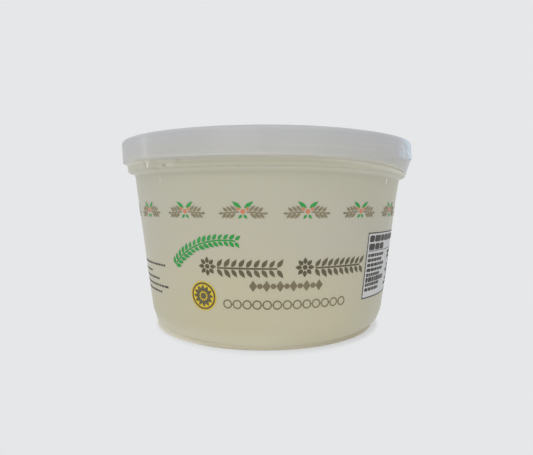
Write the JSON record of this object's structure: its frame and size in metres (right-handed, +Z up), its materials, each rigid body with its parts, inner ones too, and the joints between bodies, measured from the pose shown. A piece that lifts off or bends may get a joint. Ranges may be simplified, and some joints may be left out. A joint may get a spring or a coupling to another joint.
{
  "type": "shut deli tub of fresh cheese",
  "caption": "Round translucent plastic deli tub of fresh cheese, tapered and printed, shut with a pale press-on lid.",
  "frame": {"origin": "centre of the foot ring, on the surface that the tub stands on", "axes": "+Z up along the tub's axis towards the lid; -Y out of the printed front; +X to the right seen from the front"},
  "size_m": [0.117, 0.117, 0.072],
  "materials": {
    "tub": "milky translucent moulded polypropylene, satin",
    "lid": "pale moulded polyethylene, satin",
    "print": "dry-offset printing ink, thin and matte"
  },
  "bodies": {
    "root": {"tub": "tub", "lid": "lid"}
  },
  "joints": []
}
